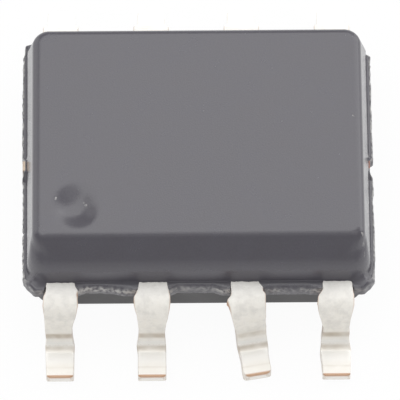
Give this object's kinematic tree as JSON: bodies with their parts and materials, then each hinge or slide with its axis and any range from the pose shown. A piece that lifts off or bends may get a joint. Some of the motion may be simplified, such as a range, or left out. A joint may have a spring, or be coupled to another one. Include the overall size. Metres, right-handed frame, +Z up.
{
  "type": "integrated circuit",
  "caption": "Small-outline surface-mount integrated circuit: grey moulded body with a bevelled pin 1 side and dimple, gull-wing leads on both long sides, bonded die inside.",
  "frame": {"origin": "on the seating plane, under the middle of the package", "axes": "+X along the body, +Y towards pins 5 to 8 with pins 1 to 4 on the -Y side and pin 1 at -X, +Z up from the board"},
  "size_m": [0.0048, 0.006, 0.0016],
  "materials": {
    "moulding": "fine matte grey moulding compound",
    "tinned_lead": "matte tin plating over copper, bare at cut edges",
    "copper_frame": "rolled copper alloy",
    "die_attach": "silver-filled adhesive",
    "silicon": "polished silicon",
    "gold_wire": "bright gold wire"
  },
  "bodies": {
    "root": {"moulded_body": "moulding", "lead_1": "tinned_lead", "lead_2": "tinned_lead", "lead_3": "tinned_lead", "lead_4": "tinned_lead", "lead_5": "tinned_lead", "lead_6": "tinned_lead", "lead_7": "tinned_lead", "lead_8": "tinned_lead", "die_paddle": "copper_frame", "die_attach": "die_attach", "die": "silicon", "bond_wire_1": "gold_wire", "bond_wire_2": "gold_wire", "bond_wire_3": "gold_wire", "bond_wire_4": "gold_wire", "bond_wire_5": "gold_wire", "bond_wire_6": "gold_wire", "bond_wire_7": "gold_wire", "bond_wire_8": "gold_wire"}
  },
  "joints": []
}
